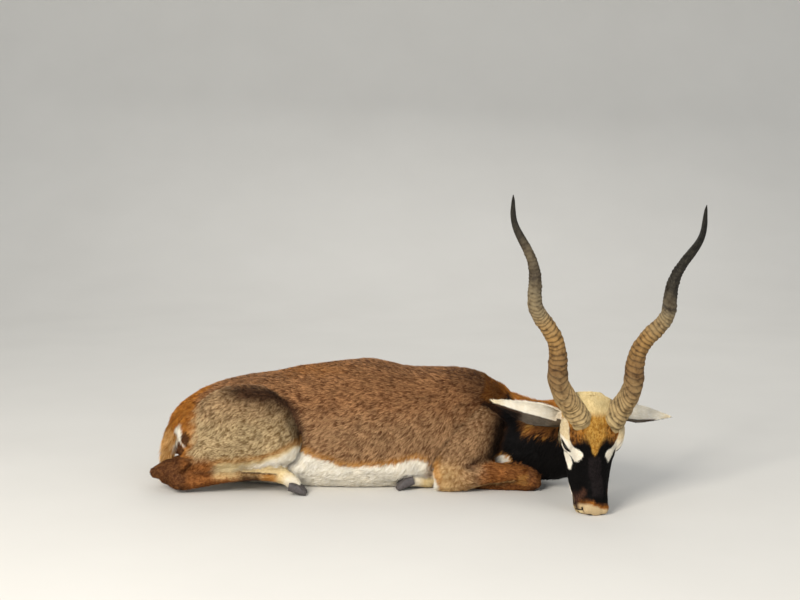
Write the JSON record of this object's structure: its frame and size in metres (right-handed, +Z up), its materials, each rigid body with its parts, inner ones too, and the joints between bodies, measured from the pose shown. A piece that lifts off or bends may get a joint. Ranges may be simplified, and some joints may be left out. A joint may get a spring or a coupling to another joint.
{
  "type": "blackbuck antelope figure",
  "caption": "Life-size adult male blackbuck lying with folded legs, head turned aside and upright on its nose, with long ringed horns that twist apart.",
  "frame": {"origin": "middle of the flat that the belly rests on, at floor level", "axes": "+X from rump to shoulders along the trunk, +Z up, -Y out of the animal's right side, to which the head is turned"},
  "size_m": [1.117, 0.4483, 0.5845],
  "materials": {
    "coat_brown": "short flat fur, brown flecked with tan",
    "coat_black": "short flat fur, black",
    "coat_tan": "short flat fur, tan",
    "coat_white": "short flat fur, cream white",
    "horn": "ringed horn, dull",
    "hoof": "horn, satin",
    "eye": "wet, glossy"
  },
  "bodies": {
    "root": {"torso": "coat_brown", "neck": "coat_black", "head": "coat_black", "tail": "coat_tan", "ear_right": "coat_white", "ear_left": "coat_white", "eye_right": "eye", "eye_left": "eye", "horn_right": "horn", "horn_left": "horn", "foreleg_right_arm": "coat_brown", "foreleg_right_cannon": "coat_tan", "foreleg_right_hoof_inner": "hoof", "foreleg_right_hoof_outer": "hoof", "foreleg_left_arm": "coat_brown", "foreleg_left_cannon": "coat_tan", "foreleg_left_hoof_inner": "hoof", "foreleg_left_hoof_outer": "hoof", "hindleg_right_thigh": "coat_brown", "hindleg_right_cannon": "coat_tan", "hindleg_right_hoof_inner": "hoof", "hindleg_right_hoof_outer": "hoof", "hindleg_left_thigh": "coat_brown", "hindleg_left_cannon": "coat_tan", "hindleg_left_hoof_inner": "hoof", "hindleg_left_hoof_outer": "hoof"}
  },
  "joints": []
}
